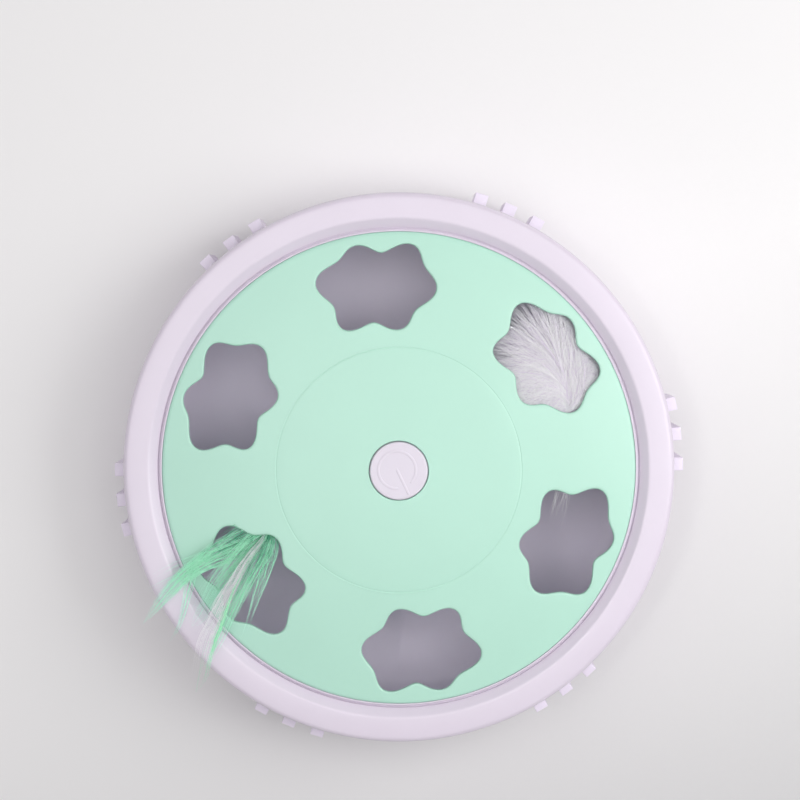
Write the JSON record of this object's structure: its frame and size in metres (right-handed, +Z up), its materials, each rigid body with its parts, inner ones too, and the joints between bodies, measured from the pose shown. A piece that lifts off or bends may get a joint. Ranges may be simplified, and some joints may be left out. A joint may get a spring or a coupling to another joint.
{
  "type": "feather cat toy",
  "caption": "Round battery-driven cat toy. A motor turns feathers round below a domed cover, and they pop out of its star-shaped holes.",
  "frame": {"origin": "on the floor below the turntable's axis, level with the underside of the rubber feet", "axes": "+Z up along the turntable's axis, out of the green cover; +X through the middle rib of one group of grip ribs, midway between two star holes"},
  "size_m": [0.2396, 0.23, 0.0634],
  "materials": {
    "lilac_abs": "satin moulded ABS, pale lilac",
    "lilac_inner_abs": "satin moulded ABS, lilac",
    "mint_abs": "semi-gloss moulded ABS, mint green",
    "button_abs": "satin moulded ABS, pale lilac",
    "zinc_plated_steel": "zinc plated",
    "spring_steel": "nickel plated, bright",
    "grey_rubber": "matte",
    "white_acetal": "natural, slightly waxy",
    "motor_can": "bright plated can",
    "pinion_brass": "machined",
    "cell_jacket": "printed plastic jacket, plain",
    "board_laminate": "green solder mask",
    "black_plastic": "matte",
    "red_insulation": "soft vinyl",
    "green_plume": "dyed feather",
    "pale_plume": "undyed grey-white hackle",
    "white_down": "undyed down"
  },
  "bodies": {
    "housing": {"base_shell": "lilac_abs", "rim_ring": "lilac_abs", "star_cover": "mint_abs", "drive_housing": "lilac_inner_abs", "case_screw_1": "zinc_plated_steel", "case_screw_2": "zinc_plated_steel", "case_screw_3": "zinc_plated_steel", "case_screw_4": "zinc_plated_steel", "case_screw_5": "zinc_plated_steel", "case_screw_6": "zinc_plated_steel", "housing_screw_1": "zinc_plated_steel", "housing_screw_2": "zinc_plated_steel", "housing_screw_3": "zinc_plated_steel", "gearbox_screw_1": "zinc_plated_steel", "gearbox_screw_2": "zinc_plated_steel", "gearbox_screw_3": "zinc_plated_steel", "motor_screw_1": "zinc_plated_steel", "motor_screw_2": "zinc_plated_steel", "board_screw_1": "zinc_plated_steel", "board_screw_2": "zinc_plated_steel", "idler_axle": "zinc_plated_steel", "drive_axle": "zinc_plated_steel", "cell_spring_1": "spring_steel", "cell_spring_2": "spring_steel", "cell_spring_3": "spring_steel", "contact_link_left": "spring_steel", "contact_end_left": "spring_steel", "contact_link_right": "spring_steel", "contact_end_right": "spring_steel", "turntable_clip": "spring_steel", "button_spring": "spring_steel", "rubber_foot_1": "grey_rubber", "rubber_foot_2": "grey_rubber", "rubber_foot_3": "grey_rubber", "rubber_foot_4": "grey_rubber", "gear_plate": "white_acetal", "drive_motor": "motor_can", "aa_cell_1": "cell_jacket", "aa_cell_2": "cell_jacket", "aa_cell_3": "cell_jacket", "circuit_board": "board_laminate", "push_switch": "black_plastic", "battery_lead": "red_insulation", "motor_lead": "red_insulation"},
    "button": {"power_button": "button_abs", "switch_plunger": "white_acetal"},
    "rotor": {"motor_shaft": "zinc_plated_steel", "motor_pinion": "pinion_brass"},
    "idler": {"idler_gear": "white_acetal"},
    "drive": {"drive_gear": "white_acetal"},
    "turntable": {"turntable": "lilac_inner_abs", "white_feather_plug": "white_acetal", "green_feather_plug": "white_acetal", "green_feather_1": "green_plume", "green_feather_2": "green_plume", "green_feather_3": "green_plume", "pale_feather": "pale_plume", "white_feather": "white_down"},
    "door": {"battery_door": "lilac_abs"}
  },
  "joints": [
    {"name": "motor_spin", "type": "hinge", "parent": "housing", "child": "rotor", "pos_m": [0, 0.0355, 0.034], "axis": [0, 0, 1], "continuous": true},
    {"name": "idler_spin", "type": "hinge", "parent": "housing", "child": "idler", "pos_m": [0.01336, 0.02868, 0.034], "axis": [0, 0, 1], "continuous": true},
    {"name": "drive_spin", "type": "hinge", "parent": "housing", "child": "drive", "pos_m": [0.01157, 0.01379, 0.037], "axis": [0, 0, 1], "continuous": true},
    {"name": "turntable_spin", "type": "hinge", "parent": "housing", "child": "turntable", "pos_m": [0, 0, 0.0455], "axis": [0, 0, 1], "continuous": true, "deforming": ["green_feather_1", "green_feather_2", "green_feather_3", "pale_feather", "white_feather"]},
    {"name": "power_button_press", "type": "slide", "parent": "housing", "child": "button", "axis": [0, 0, -1], "range_m": [0, 0.0012], "stiffness_N_per_m": 300, "springref_m": -0.001, "deforming": ["button_spring"]},
    {"name": "battery_door_swing", "type": "hinge", "parent": "housing", "child": "door", "pos_m": [-0.03285, 0, 0.002], "axis": [0, 1, 0], "range_deg": [0, 90]}
  ],
  "couplings": [
    {"joint": "idler_spin", "follows": "motor_spin", "ratio": -0.25},
    {"joint": "drive_spin", "follows": "motor_spin", "ratio": 0.0625},
    {"joint": "turntable_spin", "follows": "motor_spin", "ratio": -0.0125}
  ]
}
